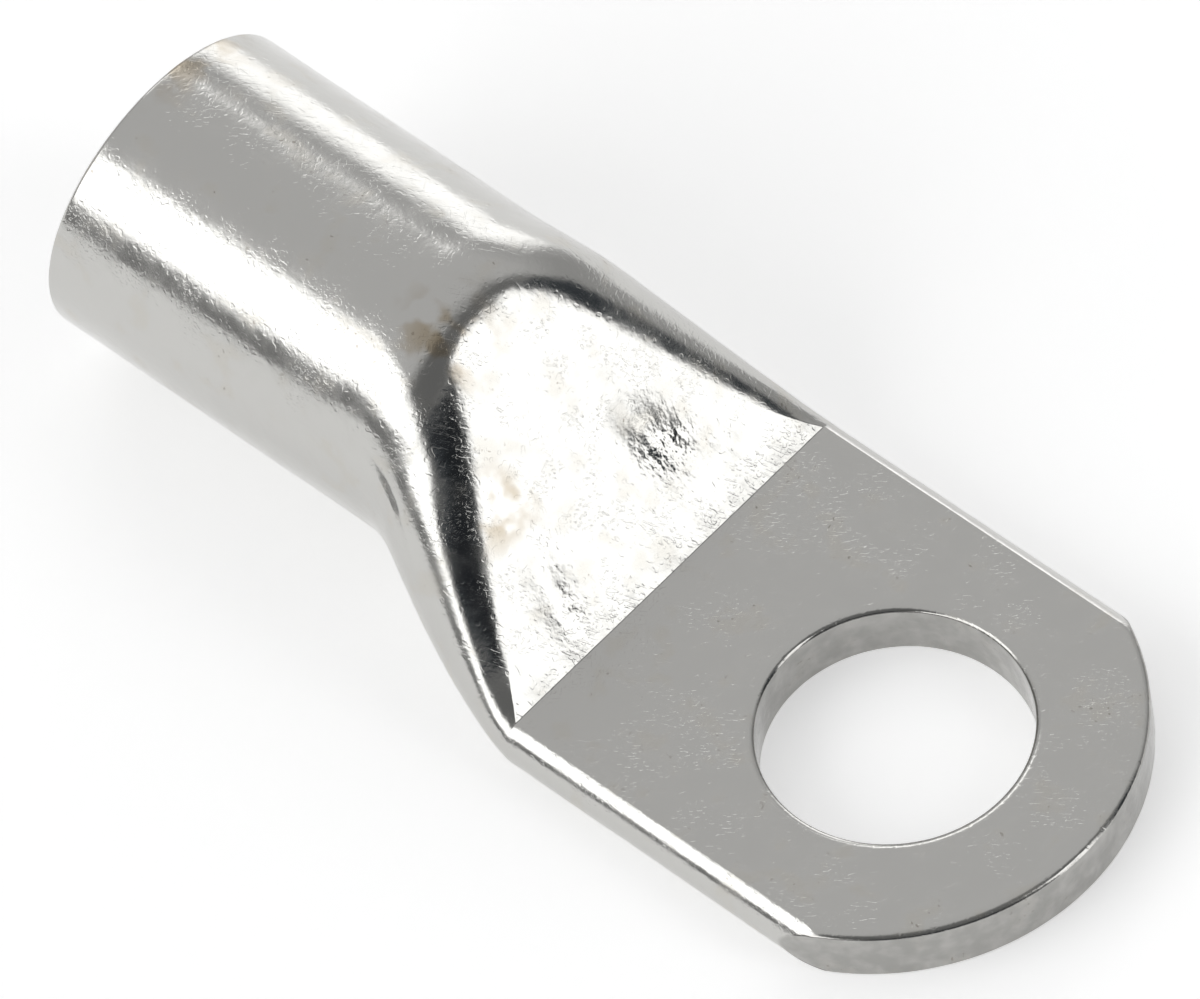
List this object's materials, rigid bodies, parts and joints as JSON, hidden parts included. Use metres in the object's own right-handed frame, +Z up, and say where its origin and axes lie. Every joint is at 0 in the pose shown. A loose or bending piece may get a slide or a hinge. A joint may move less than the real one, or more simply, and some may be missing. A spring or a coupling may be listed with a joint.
{
  "type": "cable lug",
  "caption": "Tubular cable lug: a round barrel for the conductor, pressed flat into a palm with a stud hole.",
  "frame": {"origin": "centre of the stud hole, on the underside of the palm", "axes": "+X from the barrel's mouth to the tip of the palm, +Z up, from the palm's underside to its top"},
  "size_m": [0.0374, 0.015, 0.0105],
  "materials": {
    "tinned_copper": "bright tin plating over copper"
  },
  "bodies": {
    "root": {"lug": "tinned_copper"}
  },
  "joints": []
}
